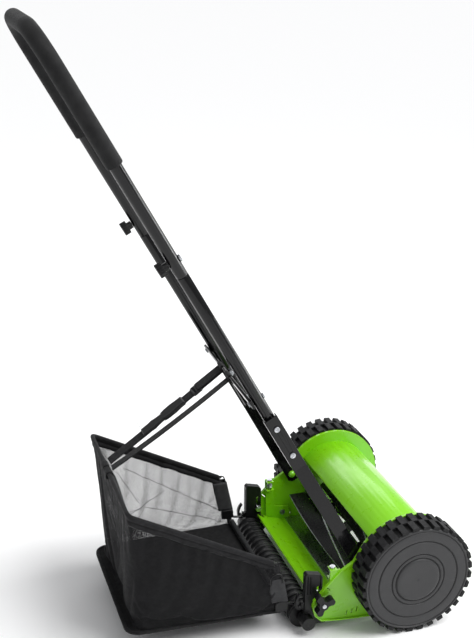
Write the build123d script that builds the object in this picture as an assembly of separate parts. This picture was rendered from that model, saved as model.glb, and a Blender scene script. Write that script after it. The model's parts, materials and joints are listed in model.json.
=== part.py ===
from build123d import *
from math import acos, atan2, cos, degrees, hypot, pi, radians, sin, tan
import os

# Walk-behind reel mower with a hanging grass catcher, in millimetres.
# The machine rolls towards -Y, X is across it and +Z is up.  Everything is laid out from the
# wheel axle line (y = 0) and the ground (z = 0), and shifted by AXLE_Y when it is written, so
# that the origin is on the ground below the middle of the whole machine.

# ---- driving dimensions ----
WHEEL_R = 115.0
WHEEL_IN = 193.0
WHEEL_OUT = 247.0
AXLE_Z = WHEEL_R
PLATE_IN = 186.0
PLATE_T = 2.5
PLATE_R = 110.0
REEL_R = 58.0
REEL_HALF = 172.0
BLADES = 5
BLADE_WIDE = 38.0
TUBE_R = 11.0
TUBE_WALL = 1.3
GRIP_R = 15.0
TUBE_X = 135.0
HANDLE_ANGLE = 61.2
HANDLE_LENGTH = 1145.0
ROLLER_R = 27.0
FIT = 0.05

# ---- gear pair: the ring inside each wheel drives a pinion on the reel shaft ----
MODULE = 2.0
RING_TEETH = 66
PINION_TEETH = 13
PRESSURE = radians(20)
BACKLASH = 0.45

# ---- places in the side view, (y, z) ----
AXLE = (0.0, AXLE_Z)
GEAR_CENTRES = MODULE * (RING_TEETH - PINION_TEETH) / 2
REEL_ANGLE = radians(-27.5)
REEL = (GEAR_CENTRES * cos(REEL_ANGLE), AXLE_Z + GEAR_CENTRES * sin(REEL_ANGLE))
PIVOT = (98.0, 140.0)
BED_PIVOT = (118.0, 46.0)
ADJUSTER = (149.0, 122.0)
ROLLER = (203.0, 27.0)
HEIGHT_BOLT = (178.0, 72.0)
HOOK = (216.0, 58.0)

HANDLE_REACH = HANDLE_LENGTH * cos(radians(HANDLE_ANGLE))
AXLE_Y = -(PIVOT[0] + HANDLE_REACH + GRIP_R - WHEEL_R) / 2

NODES = {}


# ---- helpers ----
def side(x):
    """The side-view plane at x, whose own coordinates are (y, z)."""
    return Plane(origin=(x, 0, 0), x_dir=(0, 1, 0), z_dir=(1, 0, 0))


def prism(sketch, x0, x1):
    """A side-view sketch given thickness from x0 to x1."""
    return extrude(side(x0) * sketch, amount=x1 - x0)


def rod(place, radius, x0, x1):
    """A round bar across the machine."""
    return prism(Pos(*place) * Circle(radius), x0, x1)


def ring(place, outer, inner, x0, x1):
    """A round tube across the machine."""
    return prism(Pos(*place) * (Circle(outer) - Circle(inner)), x0, x1)


def outline(points):
    """A closed side-view face from straight edges."""
    return make_face(Polyline(*points, close=True))


def polar(centre, radius, angle):
    """The side-view point at a radius and an angle in degrees from +Y."""
    return (centre[0] + radius * cos(radians(angle)), centre[1] + radius * sin(radians(angle)))


def on_handle(along, across=0.0):
    """The side-view point a distance up the handle from its pivot and behind its line."""
    tilt = radians(HANDLE_ANGLE)
    y = PIVOT[0] + along * cos(tilt) + across * sin(tilt)
    return (y, PIVOT[1] + along * sin(tilt) - across * cos(tilt))


def bar(start, end, radius):
    """A straight round bar between two points in space."""
    run = Vector(*end) - Vector(*start)
    return extrude(Plane(origin=start, z_dir=run) * Circle(radius), amount=run.length)


def bent_rod(points, radius, bend):
    """A round rod through points, with every corner bent to one radius."""
    path = FilletPolyline(*points, radius=bend)
    return sweep(Plane(origin=path @ 0, z_dir=path % 0) * Circle(radius), path=path)


def mirrored(shape):
    """The same piece for the other side of the machine."""
    return mirror(shape, about=Plane.YZ)


def put(name, *shapes):
    """Keep a named piece, as one or several separate solids, in the machine's own frame."""
    solids = [solid for shape in shapes for solid in shape.solids()]
    whole = solids[0] if len(solids) == 1 else Compound(children=solids)
    NODES[name] = Pos(0, AXLE_Y, 0) * whole


def put_pair(name, shape):
    """Keep a left piece, at +X, and its mirror image on the right."""
    put(name + "_left", shape)
    put(name + "_right", mirrored(shape))


# ---- side plates, guard and the fixed cross pieces ----
def plate_outline():
    tail = outline([
        (-20, 112), (10, 6.5), (79, 12), (134, 16), (174, 22), (188, 36),
        (193, 56), (190, 72), (167, 97), (137, 127), (111, 143), (97, 166), (30, 219),
    ])
    return Pos(*AXLE) * Circle(PLATE_R) + tail


def side_plate():
    rim_height = 3.5
    sheet = prism(plate_outline(), PLATE_IN, PLATE_IN + PLATE_T)
    band = plate_outline() - offset(plate_outline(), amount=-PLATE_T)
    sheet += prism(band, PLATE_IN + PLATE_T, PLATE_IN + PLATE_T + rim_height)
    stop = rod(on_handle(-12, -17.1), 3.2, 176.5, PLATE_IN)
    tab_front, tab_rear = ADJUSTER[0] - 7, ADJUSTER[0] + 7
    tab = prism(outline([
        (tab_front, 128), (tab_rear, 128), (tab_rear, 130.5), (tab_front, 130.5),
    ]), 172, PLATE_IN)
    web_front, web_rear = ADJUSTER[0] - 12, ADJUSTER[0] + 8
    web = prism(outline([
        (web_front, 116), (web_rear, 104), (web_rear, 130.5), (web_front, 130.5),
    ]), PLATE_IN, PLATE_IN + PLATE_T)
    sheet += stop + tab + web
    holes = [
        (AXLE, 6.0), (REEL, 11.0), (PIVOT, 4.0), (HEIGHT_BOLT, 4.0 + FIT),
    ]
    for place, radius in holes + [(place, 3.0) for place in GUARD_BOLTS + [TIE_ROD]]:
        sheet -= rod(place, radius, PLATE_IN - 1, WHEEL_IN)
    sheet -= adjuster_hole(125, 134)
    # Short slits are pressed through the tail: one above the height knob, three along its foot.
    for place, turn in (((160, 91), 45), ((120, 28), 100), ((109, 30), 100), ((98, 33), 100)):
        sheet -= prism(Pos(*place) * Rot(0, 0, turn) * SlotOverall(12, 2), PLATE_IN - 1, WHEEL_IN)
    return sheet


GUARD_R = 86.0
GUARD_T = 2.0
GUARD_REAR = 40.0
GUARD_FRONT = 200.0
GUARD_BOLTS = [polar(AXLE, GUARD_R - 9, angle) for angle in (62, 122, 182)]
TIE_ROD = (-47.0, 66.0)


def adjuster_hole(low, high):
    hole = Plane(origin=(179, ADJUSTER[0], low)) * Circle(3.0)
    return extrude(hole, amount=high - low)


def arc_band(outer, inner, first, last):
    """A side-view sector of a ring about the axle."""
    middle = (first + last) / 2
    edges = [
        ThreePointArc(polar(AXLE, outer, first), polar(AXLE, outer, middle), polar(AXLE, outer, last)),
        Line(polar(AXLE, outer, last), polar(AXLE, inner, last)),
        ThreePointArc(polar(AXLE, inner, last), polar(AXLE, inner, middle), polar(AXLE, inner, first)),
        Line(polar(AXLE, inner, first), polar(AXLE, outer, first)),
    ]
    return make_face(edges)


def front_guard():
    sheet = prism(arc_band(GUARD_R, GUARD_R - GUARD_T, GUARD_REAR, GUARD_FRONT), -PLATE_IN, PLATE_IN)
    top = polar(AXLE, GUARD_R, GUARD_REAR)
    low = polar(AXLE, GUARD_R - GUARD_T, GUARD_REAR)
    lip = outline([top, low, (low[0] - 10, low[1] - 13), (low[0] - 8.2, low[1] - 14)])
    sheet += prism(lip, -PLATE_IN, PLATE_IN)
    hem = rod(polar(AXLE, GUARD_R - 3, GUARD_FRONT), 3.0, -PLATE_IN, PLATE_IN)
    sheet += hem
    for angle in (62, 122, 182):
        tab = arc_band(GUARD_R - GUARD_T / 2, GUARD_R - 17, angle - 6, angle + 6)
        sheet += prism(tab, PLATE_IN - PLATE_T, PLATE_IN)
        sheet += prism(tab, -PLATE_IN, PLATE_T - PLATE_IN)
    for place in GUARD_BOLTS:
        sheet -= rod(place, 3.0, -PLATE_IN - 1, PLATE_IN + 1)
    return sheet


def hexagon(place, across_flats, x0, x1):
    return prism(Pos(*place) * RegularPolygon(across_flats / 2, 6, major_radius=False), x0, x1)


def through_bolt(place, radius, inner, outer, head=5.0, nut=10.0):
    """A low-headed bolt through a plate, with its nut on the inner side."""
    bolt = rod(place, radius, inner, outer)
    bolt += rod(place, head, outer, outer + 2.6)
    bolt += hexagon(place, nut, inner, inner + 4.5)
    return bolt


def fixed_pieces():
    put_pair("side_plate", side_plate())
    put("front_guard", front_guard())
    plate_out = PLATE_IN + PLATE_T
    bolts = [through_bolt(place, 3.0, 179, plate_out) for place in GUARD_BOLTS]
    put("guard_bolts", *bolts, *[mirrored(bolt) for bolt in bolts])
    cross = rod(TIE_ROD, 5.0, -PLATE_IN, PLATE_IN) + rod(TIE_ROD, 3.0, -plate_out, plate_out)
    cross += rod(TIE_ROD, 6.0, plate_out, plate_out + 2.6)
    cross += rod(TIE_ROD, 6.0, -plate_out - 2.6, -plate_out)
    put("front_tie_rod", cross)

    stud = rod(AXLE, 6.0, 180, 241) + rod(AXLE, 11.0, 181.5, PLATE_IN)
    put("wheel_studs", stud, mirrored(stud))
    nut = hexagon(AXLE, 19, 232, 240) + rod(AXLE, 12.0, 230.5, 232)
    nut -= rod(AXLE, 6.0, 229, 242)
    put("wheel_nuts", nut, mirrored(nut))

    bush = rod(REEL, 11.0, PLATE_IN, 190) + rod(REEL, 16.0, PLATE_IN - 3, PLATE_IN)
    bush -= rod(REEL, 7.0 + FIT, 180, 195)
    put("reel_bearings", bush, mirrored(bush))

    pin = rod(PIVOT, 4.0, 176.6, plate_out) + rod(PIVOT, 7.0, plate_out, plate_out + 3)
    put("handle_pivot_bolts", pin, mirrored(pin))
    spacer = ring(PIVOT, 9.0, 4.0, 180.4, PLATE_IN)
    put("handle_pivot_spacers", spacer, mirrored(spacer))
    dome = Pos(176.6, *PIVOT) * Sphere(8.0)
    dome &= rod(PIVOT, 9.0, 160, 176.6)
    put("pivot_caps", dome, mirrored(dome))

    pin = rod(BED_PIVOT, 4.0, 180.2, PLATE_IN) + rod(BED_PIVOT, 6.0, 178, 180.2)
    put("bed_plate_pins", pin, mirrored(pin))
    screw = extrude(Plane(origin=(179, ADJUSTER[0], 106)) * Circle(3.0), amount=28)
    screw += extrude(Plane(origin=(179, ADJUSTER[0], 130.5)) * Circle(5.5), amount=3.6)
    put("adjuster_screws", screw, mirrored(screw))
    coil = Helix(pitch=3.2, height=12.8, radius=5.0)
    spring = sweep(Plane(origin=coil @ 0, z_dir=coil % 0) * Circle(0.8), path=coil)
    spring = Pos(179, ADJUSTER[0], 114.2) * spring
    put("adjuster_springs", spring, mirrored(spring))


# ---- wheels and the gear train ----
def involute(angle):
    return tan(angle) - angle


def tooth_half_angle(radius, teeth, play):
    """Half the angle that a tooth takes up at a radius, less its share of the play."""
    pitch_r = MODULE * teeth / 2
    base_r = pitch_r * cos(PRESSURE)
    here = acos(base_r / radius) if radius > base_r else 0.0
    return pi / (2 * teeth) - play / (2 * pitch_r) + involute(PRESSURE) - involute(here)


def gear_face(teeth, radii, play, root_r):
    """A closed gear outline: each tooth has flanks through radii, and runs down to root_r."""
    points = []
    for tooth in range(teeth):
        middle = REEL_ANGLE + 2 * pi * tooth / teeth
        flank = [(r, tooth_half_angle(r, teeth, play)) for r in radii]
        if root_r < radii[0]:
            flank.insert(0, (root_r, flank[0][1]))
        for r, half in flank:
            points.append((r * cos(middle - half), r * sin(middle - half)))
        for r, half in reversed(flank):
            points.append((r * cos(middle + half), r * sin(middle + half)))
    return outline(points)


RING_OUT = 73.0
RING_FRONT = 212.0
WEB = 221.0
HUBCAP_R = 108.2
HUBCAP_BACK = 243.0


def wheel_disc():
    pitch_r = MODULE * RING_TEETH / 2
    # The ring's gaps have a pinion tooth's shape, so they are drawn as teeth and cut away.
    flanks = (pitch_r - 1.5, pitch_r - 0.6, pitch_r + 0.6, pitch_r + 2.1)
    gaps = gear_face(RING_TEETH, flanks, 0, pitch_r - 1.5)
    gear = prism(Pos(*AXLE) * (Circle(RING_OUT) - gaps), 197, RING_FRONT)
    disc = gear + ring(AXLE, RING_OUT, RING_OUT - 3, RING_FRONT, WEB)
    disc += ring(AXLE, 103, 14, WEB, WEB + 4)
    disc += ring(AXLE, 103, 99.5, 194, 243)
    disc += ring(AXLE, 16, 6 + FIT, 194, 230)
    for spoke in range(8):
        rib = Pos(*AXLE) * Rot(0, 0, 45 * spoke) * Pos(58, 0) * Rectangle(86, 4)
        disc += prism(rib, WEB + 4, 241)
    return disc


def tread_face(turn):
    """One row of tyre lugs about the axle, as a closed side-view outline."""
    lugs = 32
    base_r = 108.5
    points = []
    for lug in range(lugs):
        middle = turn + 360 * lug / lugs
        for r, lean in ((base_r, -3.7), (WHEEL_R, -3.0), (WHEEL_R, 3.0), (base_r, 3.7)):
            points.append(polar(AXLE, r, middle + lean))
    return outline(points)


def tyre():
    half = (WHEEL_IN + WHEEL_OUT) / 2
    inner_row = prism(tread_face(-90), WHEEL_IN, half + 1)
    outer_row = prism(tread_face(-90 + 180 / 32), half - 1, WHEEL_OUT)
    tread = inner_row + outer_row - rod(AXLE, 103, WHEEL_IN - 1, WHEEL_OUT + 1)
    return tread - rod(AXLE, HUBCAP_R + 0.4, HUBCAP_BACK, WHEEL_OUT + 1)


def hubcap():
    """A thin dished cover: grooves round a raised centre, and a rolled edge."""
    # Half section from the centre outwards, as (x, radius).
    face = make_face(Polyline([
        (247.2, 0), (247.5, 16), (248.5, 35), (248.6, 40), (247.8, 44), (244.8, 45.2),
        (244.8, 47), (246.9, 48.4), (247.0, 53), (245.0, 53.8), (245.0, 55.4), (247.0, 56.4),
        (247.2, 80.4), (245.0, 81.2), (245.0, 83.2), (247.0, 84), (246.4, 101), (245.2, 102),
        (245.2, 103.4), (247.0, 104.8), (246.6, 107), (245.2, HUBCAP_R),
        (HUBCAP_BACK, HUBCAP_R), (HUBCAP_BACK, 46), (244.5, 40), (245.2, 0),
    ], close=True))
    return Pos(0, *AXLE) * revolve(face, axis=Axis.X)


def pinion():
    pitch_r = MODULE * PINION_TEETH / 2
    base_r = pitch_r * cos(PRESSURE)
    flanks = (base_r + 0.01, pitch_r - 0.3, pitch_r + 0.6, pitch_r + 1.5)
    teeth = gear_face(PINION_TEETH, flanks, BACKLASH, pitch_r - 2.1)
    gear = prism(Pos(*REEL) * teeth, 197.5, 211.5)
    gear -= rod(REEL, 7.0 + FIT, 197, 212)
    # Ramps inside the bore catch the pawl when the wheel drives forwards.
    for ramp in range(6):
        notch = Pos(*REEL) * Rot(0, 0, 60 * ramp) * make_face(Polyline([
            (5, -1), (8.8, -1), (7.1, 3.2), (5, 3)], close=True))
        gear -= prism(notch, 201, 208)
    return gear


def reel_shaft():
    half = 212.5
    shaft = rod(REEL, 7.0, -half, half)
    slot = Pos(*REEL) * Rectangle(16, 5)
    return shaft - prism(slot, 202, 207) - prism(slot, -207, -202)


def reel_blade(turn):
    """One cutter blade: an upright strip swept along the reel and turned as it goes."""
    strip = Pos(REEL_R - BLADE_WIDE / 2, 0) * Rectangle(BLADE_WIDE, 3)
    face = (side(-REEL_HALF) * (Pos(*REEL) * Rot(0, 0, turn) * strip)).face()
    start = Vector(-REEL_HALF, *REEL)
    return Solid.extrude_linear_with_rotation(face, start, Vector(2 * REEL_HALF, 0, 0), 72)


def reel_spider(x):
    """A pressed disc with one arm for each blade, clear of the blades' turn."""
    thick = 2.5
    turn = 72 * (x + REEL_HALF) / (2 * REEL_HALF)
    reach = REEL_R - BLADE_WIDE - 0.2
    arms = Circle(17)
    for arm in range(BLADES):
        angle = turn + 360 * arm / BLADES
        arms += Rot(0, 0, angle) * Pos(reach / 2, 0) * Rectangle(reach, 11)
    arms = arms & Circle(reach)
    return prism(Pos(*REEL) * (arms - Circle(7)), x - thick / 2, x + thick / 2)


def rotating_pieces():
    put_pair("wheel_disc", wheel_disc())
    put_pair("tyre", tyre())
    put_pair("hubcap", hubcap())
    put_pair("drive_pinion", pinion())
    put("reel_shaft", reel_shaft())
    put("reel_blades", *[reel_blade(360 * blade / BLADES) for blade in range(BLADES)])
    put("reel_spiders", *[reel_spider(x) for x in (-164, -82, 0, 82, 164)])
    pawl = prism(Pos(*REEL) * Rectangle(13, 4.6), 202.2, 206.8)
    put("drive_pawls", pawl, mirrored(pawl))


# ---- bed plate and bed knife ----
BED_TOP = [(68, 29.1), (92, 27.2), (122, 29.5), (150, 38), (172, 51), (180, 58)]
KNIFE_BACK = 112.0
KNIFE_SCREW_Y = 84.0
KNIFE_SCREWS = (-150, -75, 0, 75, 150)


def bed_plate():
    lower = [(y + 1.2, z - 2.4) for y, z in BED_TOP]
    sheet = outline(BED_TOP + lower[::-1])
    body = prism(sheet, -184, 184)
    for x0, x1 in ((169, 190), (-190, -169)):
        body -= prism(outline([(163, 30), (200, 30), (200, 80), (163, 80)]), x0, x1)
    ear = outline([(96, 25), (122, 28), (156, 42), (157, 110.5), (141, 110.5), (136, 64), (104, 58)])
    flange = outline([(141, 108), (157, 108), (157, 110.5), (141, 110.5)])
    cheek = prism(ear, 181, 184) + prism(flange, 172, 184)
    cheek -= rod(BED_PIVOT, 4.0 + FIT, 170, 186)
    cheek -= extrude(Plane(origin=(179, ADJUSTER[0], 100)) * Circle(5.2), amount=15)
    return body + cheek + mirrored(cheek)


def bed_knife():
    """The fixed blade: a strip on the front of the bed plate, whose tip just clears the reel."""
    tip = (REEL[0] + (REEL_R + 0.45) * sin(radians(10)), REEL[1] - (REEL_R + 0.45) * cos(radians(10)))
    seat = [(KNIFE_BACK, 28.8), (92, 27.25), (68, 29.15), (60, 28.6)]
    strip = prism(outline([tip, (68, 32), (92, 30.1), (KNIFE_BACK, 31.6)] + seat), -180, 180)
    for x in KNIFE_SCREWS:
        strip -= knife_screw_shank(x)
    return strip


def knife_screw_shank(x):
    shank = Plane(origin=(x, KNIFE_SCREW_Y, 23)) * Circle(2.5)
    return extrude(shank, amount=6.6)


def bed_pieces():
    plate, screws = bed_plate(), []
    for x in KNIFE_SCREWS:
        plate -= knife_screw_shank(x)
        head = Plane(origin=(x, KNIFE_SCREW_Y, 22.4)) * Circle(5)
        screws.append(knife_screw_shank(x) + extrude(head, amount=2.6))
    put("bed_plate", plate)
    put("bed_knife", bed_knife())
    put("bed_knife_screws", *screws)


# ---- roller and its height brackets ----
def roller_bracket():
    inner, outer = 172.0, PLATE_IN - 0.6
    block = outline([
        (171, 44), (171, 118), (175, 123), (202, 130), (206, 126), (206, 64), (207, 38),
        (192, 15), (164, 14), (160, 19), (172, 30),
    ])
    body = prism(block, inner, outer) + rod(ROLLER, 13.5, inner, 201)
    # Upright ribs stand on the outer and rear faces.
    for y in (174, 194.5, 200):
        groove = outline([(y, 84), (y + 2.6, 84), (y + 2.6, 123), (y, 123)])
        body -= prism(groove, outer - 2.2, outer + 1)
    for x in (174.5, 180.5):
        body -= prism(outline([(203.8, 68), (207, 68), (207, 121), (203.8, 121)]), x, x + 2.8)
    body += catcher_hook()
    body -= rod(ROLLER, 5.0, inner - 1, 202)
    slot_low, slot_high = HEIGHT_BOLT[1] - 16, HEIGHT_BOLT[1] + 28
    slot = Pos(HEIGHT_BOLT[0], (slot_low + slot_high) / 2) * Rot(0, 0, 90)
    body -= prism(slot * SlotOverall(slot_high - slot_low, 9), inner - 1, outer + 1)
    return body


def catcher_hook():
    """The bracket's horn that the catcher's wire drops into."""
    y, z = HOOK
    cradle = Pos(y, z) * Circle(7.5) - Pos(y, z) * Circle(3.1)
    cradle -= outline([(y - 3.1, z), (y + 3.1, z), (y + 3.1, z + 9), (y - 3.1, z + 9)])
    arm = outline([(204, z - 7), (y - 4.6, z - 6), (y - 4.6, z + 4), (204, z + 6)])
    horn = make_face([
        ThreePointArc((y + 7.4, z + 1), (y + 7.6, z + 14), (y - 1, z + 28)),
        Line((y - 1, z + 28), (y - 3, z + 26)),
        ThreePointArc((y - 3, z + 26), (y + 3.6, z + 12), (y + 3.3, z + 1)),
        Line((y + 3.3, z + 1), (y + 7.4, z + 1)),
    ])
    return prism(cradle + horn + arm, 174, 182)


def roller():
    """Three moulded segments with raised ribs, each free on the roller axle."""
    segments = []
    gap = 1.0
    length = (2 * 168.0 - 2 * gap) / 3
    for part in range(3):
        x0 = -168 + part * (length + gap)
        core = ring(ROLLER, ROLLER_R - 3, 5 + FIT, x0, x0 + length)
        ribs = 7
        for rib in range(ribs):
            rib_x = x0 + rib * (length - 7) / (ribs - 1)
            core += ring(ROLLER, ROLLER_R, 5 + FIT, rib_x, rib_x + 7)
        segments.append(core)
    return segments


def knob_star():
    y, z = HEIGHT_BOLT
    lobes = Circle(10)
    for angle in (61, 164, 296):
        arm = Rot(0, 0, angle) * (Pos(9, 0) * Rectangle(16, 11) + Pos(17, 0) * Circle(6.5))
        lobes += arm
    star = prism(Pos(y, z) * lobes, 197, 214)
    star += rod(HEIGHT_BOLT, 5.8, PLATE_IN + PLATE_T + 0.4, 197)
    return star - rod(HEIGHT_BOLT, 4.0, 188, 215)


def height_pieces():
    put_pair("roller_bracket", roller_bracket())
    put("roller_axle", rod(ROLLER, 5.0, -201, 201))
    put("roller_segments", *roller())
    put_pair("height_knob", knob_star())
    stud = rod(HEIGHT_BOLT, 4.0, 163.5, 216)
    stud += hexagon(HEIGHT_BOLT, 13, 165, 171.4)
    put_pair("height_stud", stud)


# ---- handle ----
ARM_TOP = 352.0
ARM_HALF = 13.5
ARM_T = 3.0
ARM_FLANGE = 11.0
# The arm's outer face, as (distance up the handle, x): flat at the pivot, flared, then flat
# against the tube.
ARM_LINE = [(-18, 180.1), (76, 180.1), (228, 149.4), (ARM_TOP, 149.4)]


def arm_strip(first_bend, depth, across, width):
    """The arm's strip from one of its bends to its top: depth deep, at one place across it."""
    outside = ARM_LINE[first_bend:]
    points = outside + [(s, x - depth) for s, x in reversed(outside)]
    tilt = radians(HANDLE_ANGLE)
    frame = Plane(
        origin=(0, *on_handle(0, across)),
        x_dir=(0, cos(tilt), sin(tilt)),
        z_dir=(0, sin(tilt), -cos(tilt)),
    )
    return extrude(frame * outline(points), amount=width)


def handle_arm():
    strip = arm_strip(0, ARM_T, -ARM_HALF, 2 * ARM_HALF)
    strip += arm_strip(1, ARM_FLANGE, -ARM_HALF, 2) + arm_strip(1, ARM_FLANGE, ARM_HALF - 2, 2)
    strip -= rod(PIVOT, 4.0 + FIT, 170, 190)
    corner = 7.0
    for across in (-ARM_HALF, ARM_HALF):
        sign = 1 if across > 0 else -1
        cut = outline([
            on_handle(-19, across + sign), on_handle(-18 + corner, across + sign),
            on_handle(-19, across - sign * corner),
        ])
        strip -= prism(cut, 160, 190)
    for along in ARM_SCREWS:
        strip -= rod(on_handle(along), 3.0, 140, 155)
    return strip


ARM_SCREWS = (261.0, 327.0)
TUBE_FOOT = 240.0
SWAGE = 677.0
KNOB_AT = 706.5
BRACE_AT = 394.0
BRACE_BACK = 14.2


def lower_tube():
    foot = (TUBE_X, *on_handle(TUBE_FOOT))
    waist = (TUBE_X, *on_handle(SWAGE - 1))
    top = (TUBE_X, *on_handle(745))
    inner = TUBE_R - TUBE_WALL
    swaged = inner - 0.15
    neck = (TUBE_X, *on_handle(SWAGE - 5))
    tube = bar(foot, waist, TUBE_R) + bar(waist, top, swaged)
    tube -= bar(foot, neck, inner)
    tube -= bar(neck, (TUBE_X, *on_handle(746)), swaged - TUBE_WALL)
    for along in ARM_SCREWS:
        tube -= rod(on_handle(along), 3.0, 120, 155)
    tube -= bar((TUBE_X, *on_handle(BRACE_AT, -14)), (TUBE_X, *on_handle(BRACE_AT, 14)), 2.5)
    tube -= bar((TUBE_X, *on_handle(KNOB_AT, -14)), (TUBE_X, *on_handle(KNOB_AT, 14)), 3.0)
    return tube


def handle_bend():
    """The U of the upper handle, from its left foot over the top to its right foot."""
    def corner(x, along):
        return (x, *on_handle(along))
    return [
        corner(TUBE_X, SWAGE), corner(TUBE_X, HANDLE_LENGTH),
        corner(-TUBE_X, HANDLE_LENGTH), corner(-TUBE_X, SWAGE),
    ]


BEND_R = 62.0
GRIP_FOOT = 900.0


def upper_handle():
    tube = bent_rod(handle_bend(), TUBE_R, BEND_R) - bent_rod(handle_bend(), TUBE_R - TUBE_WALL, BEND_R)
    for x in (-TUBE_X, TUBE_X):
        tube -= bar((x, *on_handle(KNOB_AT, -14)), (x, *on_handle(KNOB_AT, 14)), 3.0)
    return tube


def foam_grip():
    points = handle_bend()
    points[0] = (TUBE_X, *on_handle(GRIP_FOOT))
    points[-1] = (-TUBE_X, *on_handle(GRIP_FOOT))
    return bent_rod(points, GRIP_R, BEND_R) - bent_rod(points, TUBE_R, BEND_R)


def knob(x):
    """A round clamp knob on the back of the tube, with a blind hole for its bolt."""
    def at(across):
        return (x, *on_handle(KNOB_AT, across))
    body = bar(at(TUBE_R + 0.6), at(TUBE_R + 9), 7.5) + bar(at(TUBE_R + 9), at(TUBE_R + 21), 13)
    body -= bar(at(TUBE_R), at(TUBE_R + 16), 3.0 + FIT)
    for flute in range(8):
        angle = pi * flute / 4
        spin = (13.6 * cos(angle), 13.6 * sin(angle))
        start = (x + spin[0], *on_handle(KNOB_AT + spin[1], TUBE_R + 8))
        end = (x + spin[0], *on_handle(KNOB_AT + spin[1], TUBE_R + 22))
        body -= bar(start, end, 2.4)
    return body


def knob_bolt(x):
    def at(across):
        return (x, *on_handle(KNOB_AT, across))
    return bar(at(-TUBE_R), at(TUBE_R + 15), 3.0) + bar(at(-TUBE_R - 3.4), at(-TUBE_R), 6.5)


def arm_screw(along):
    screw = rod(on_handle(along), 3.0, TUBE_X - TUBE_R - 2, 149.4)
    screw += rod(on_handle(along), 5.5, 149.4, 152.4)
    recess = Pos(*on_handle(along)) * (Rectangle(5.4, 1.2) + Rectangle(1.2, 5.4))
    screw -= prism(recess, 151.2, 153)
    return screw + hexagon(on_handle(along), 10, TUBE_X - TUBE_R - 5, TUBE_X - TUBE_R)


def crossbrace():
    half = TUBE_X + 9
    tilt = HANDLE_ANGLE
    face = Pos(*on_handle(BRACE_AT, BRACE_BACK)) * Rot(0, 0, tilt) * RectangleRounded(19, 5.6, 2.6)
    flat = prism(face, -half, half)
    for x in (-TUBE_X, TUBE_X):
        flat -= bar((x, *on_handle(BRACE_AT, 5)), (x, *on_handle(BRACE_AT, 20)), 2.5)
    return flat


def brace_screw(x):
    def at(across):
        return (x, *on_handle(BRACE_AT, across))
    return bar(at(-TUBE_R), at(17.2), 2.5) + bar(at(17.0), at(19.6), 5) + bar(at(-14), at(-TUBE_R), 5)


def handle_pieces():
    put_pair("handle_arm", handle_arm())
    put_pair("lower_tube", lower_tube())
    screws = [arm_screw(along) for along in ARM_SCREWS]
    put("arm_screws", *screws, *[mirrored(screw) for screw in screws])
    put("crossbrace", crossbrace())
    put("crossbrace_screws", brace_screw(TUBE_X), brace_screw(-TUBE_X))
    put("upper_handle", upper_handle())
    put("foam_grip", foam_grip())
    put("knob_bolts", knob_bolt(TUBE_X), knob_bolt(-TUBE_X))
    put_pair("handle_knob", knob(TUBE_X))


# ---- grass catcher: wire frame, mesh walls and stiff floor ----
FRONT_TOP = (175.0, 262.0, 160.0)
REAR_TOP = (169.0, 540.0, 309.0)
FRONT_FOOT = (165.0, 240.0, 47.0)
REAR_FOOT = (155.0, 546.0, 52.0)
FLOOR_CORNER = 28.0
WIRE_R = 2.5
WALL_T = 2.0


def other_side(point):
    return (-point[0], point[1], point[2])


def rim_wire():
    points = [FRONT_TOP, REAR_TOP, other_side(REAR_TOP), other_side(FRONT_TOP)]
    return bent_rod(points, WIRE_R, 14)


def front_wire():
    """From the hook's cradle, along the bracket and up the catcher's open front."""
    stub = (182.5, *HOOK)
    turn = (168.5, *HOOK)
    knee = (168.5, 238.0, 62.0)
    top = (FRONT_TOP[0] - 2.5, FRONT_TOP[1] - 6.0, FRONT_TOP[2] - 4.0)
    return bent_rod([stub, turn, knee, top], WIRE_R, 5)


def quad(points):
    return make_face(Polyline(*points, close=True))


def side_wall():
    drop = WIRE_R + 1.3
    front = quad([
        (FRONT_FOOT[0] - WALL_T, FRONT_FOOT[1] + 1, FRONT_FOOT[2]),
        (FRONT_FOOT[0], FRONT_FOOT[1] + 1, FRONT_FOOT[2]),
        (FRONT_TOP[0], FRONT_TOP[1], FRONT_TOP[2] - drop),
        (FRONT_TOP[0] - WALL_T, FRONT_TOP[1], FRONT_TOP[2] - drop),
    ])
    rear = quad([
        (REAR_FOOT[0] - WALL_T, REAR_FOOT[1], REAR_FOOT[2]),
        (REAR_FOOT[0], REAR_FOOT[1], REAR_FOOT[2]),
        (REAR_TOP[0], REAR_TOP[1], REAR_TOP[2] - drop),
        (REAR_TOP[0] - WALL_T, REAR_TOP[1], REAR_TOP[2] - drop),
    ])
    return loft([front, rear], ruled=True)


def rear_wall():
    inset = WALL_T + 0.3
    drop = WIRE_R + 1.3
    wall = quad([
        (REAR_FOOT[0] - inset, REAR_FOOT[1], REAR_FOOT[2]),
        (REAR_TOP[0] - inset, REAR_TOP[1], REAR_TOP[2] - drop),
        (inset - REAR_TOP[0], REAR_TOP[1], REAR_TOP[2] - drop),
        (inset - REAR_FOOT[0], REAR_FOOT[1], REAR_FOOT[2]),
    ])
    normal = wall.face().normal_at()
    back = -WALL_T if normal.Y > 0 else WALL_T
    return extrude(wall, amount=back)


def catcher_floor():
    slope = degrees(atan2(REAR_FOOT[2] - FRONT_FOOT[2], REAR_FOOT[1] - FRONT_FOOT[1]))
    length = hypot(REAR_FOOT[1] - FRONT_FOOT[1], REAR_FOOT[2] - FRONT_FOOT[2])
    panel = make_face(Polyline(
        (-FRONT_FOOT[0], 0), (FRONT_FOOT[0], 0), (REAR_FOOT[0] + 1, length + 2),
        (-REAR_FOOT[0] - 1, length + 2), close=True))
    rear_corners = panel.vertices().sort_by(Axis.Y)[-2:]
    panel = fillet(rear_corners, radius=FLOOR_CORNER)
    frame = Pos(0, FRONT_FOOT[1], FRONT_FOOT[2] - 0.3) * Rot(slope, 0, 0)
    return frame * extrude(panel, amount=-3)


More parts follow.
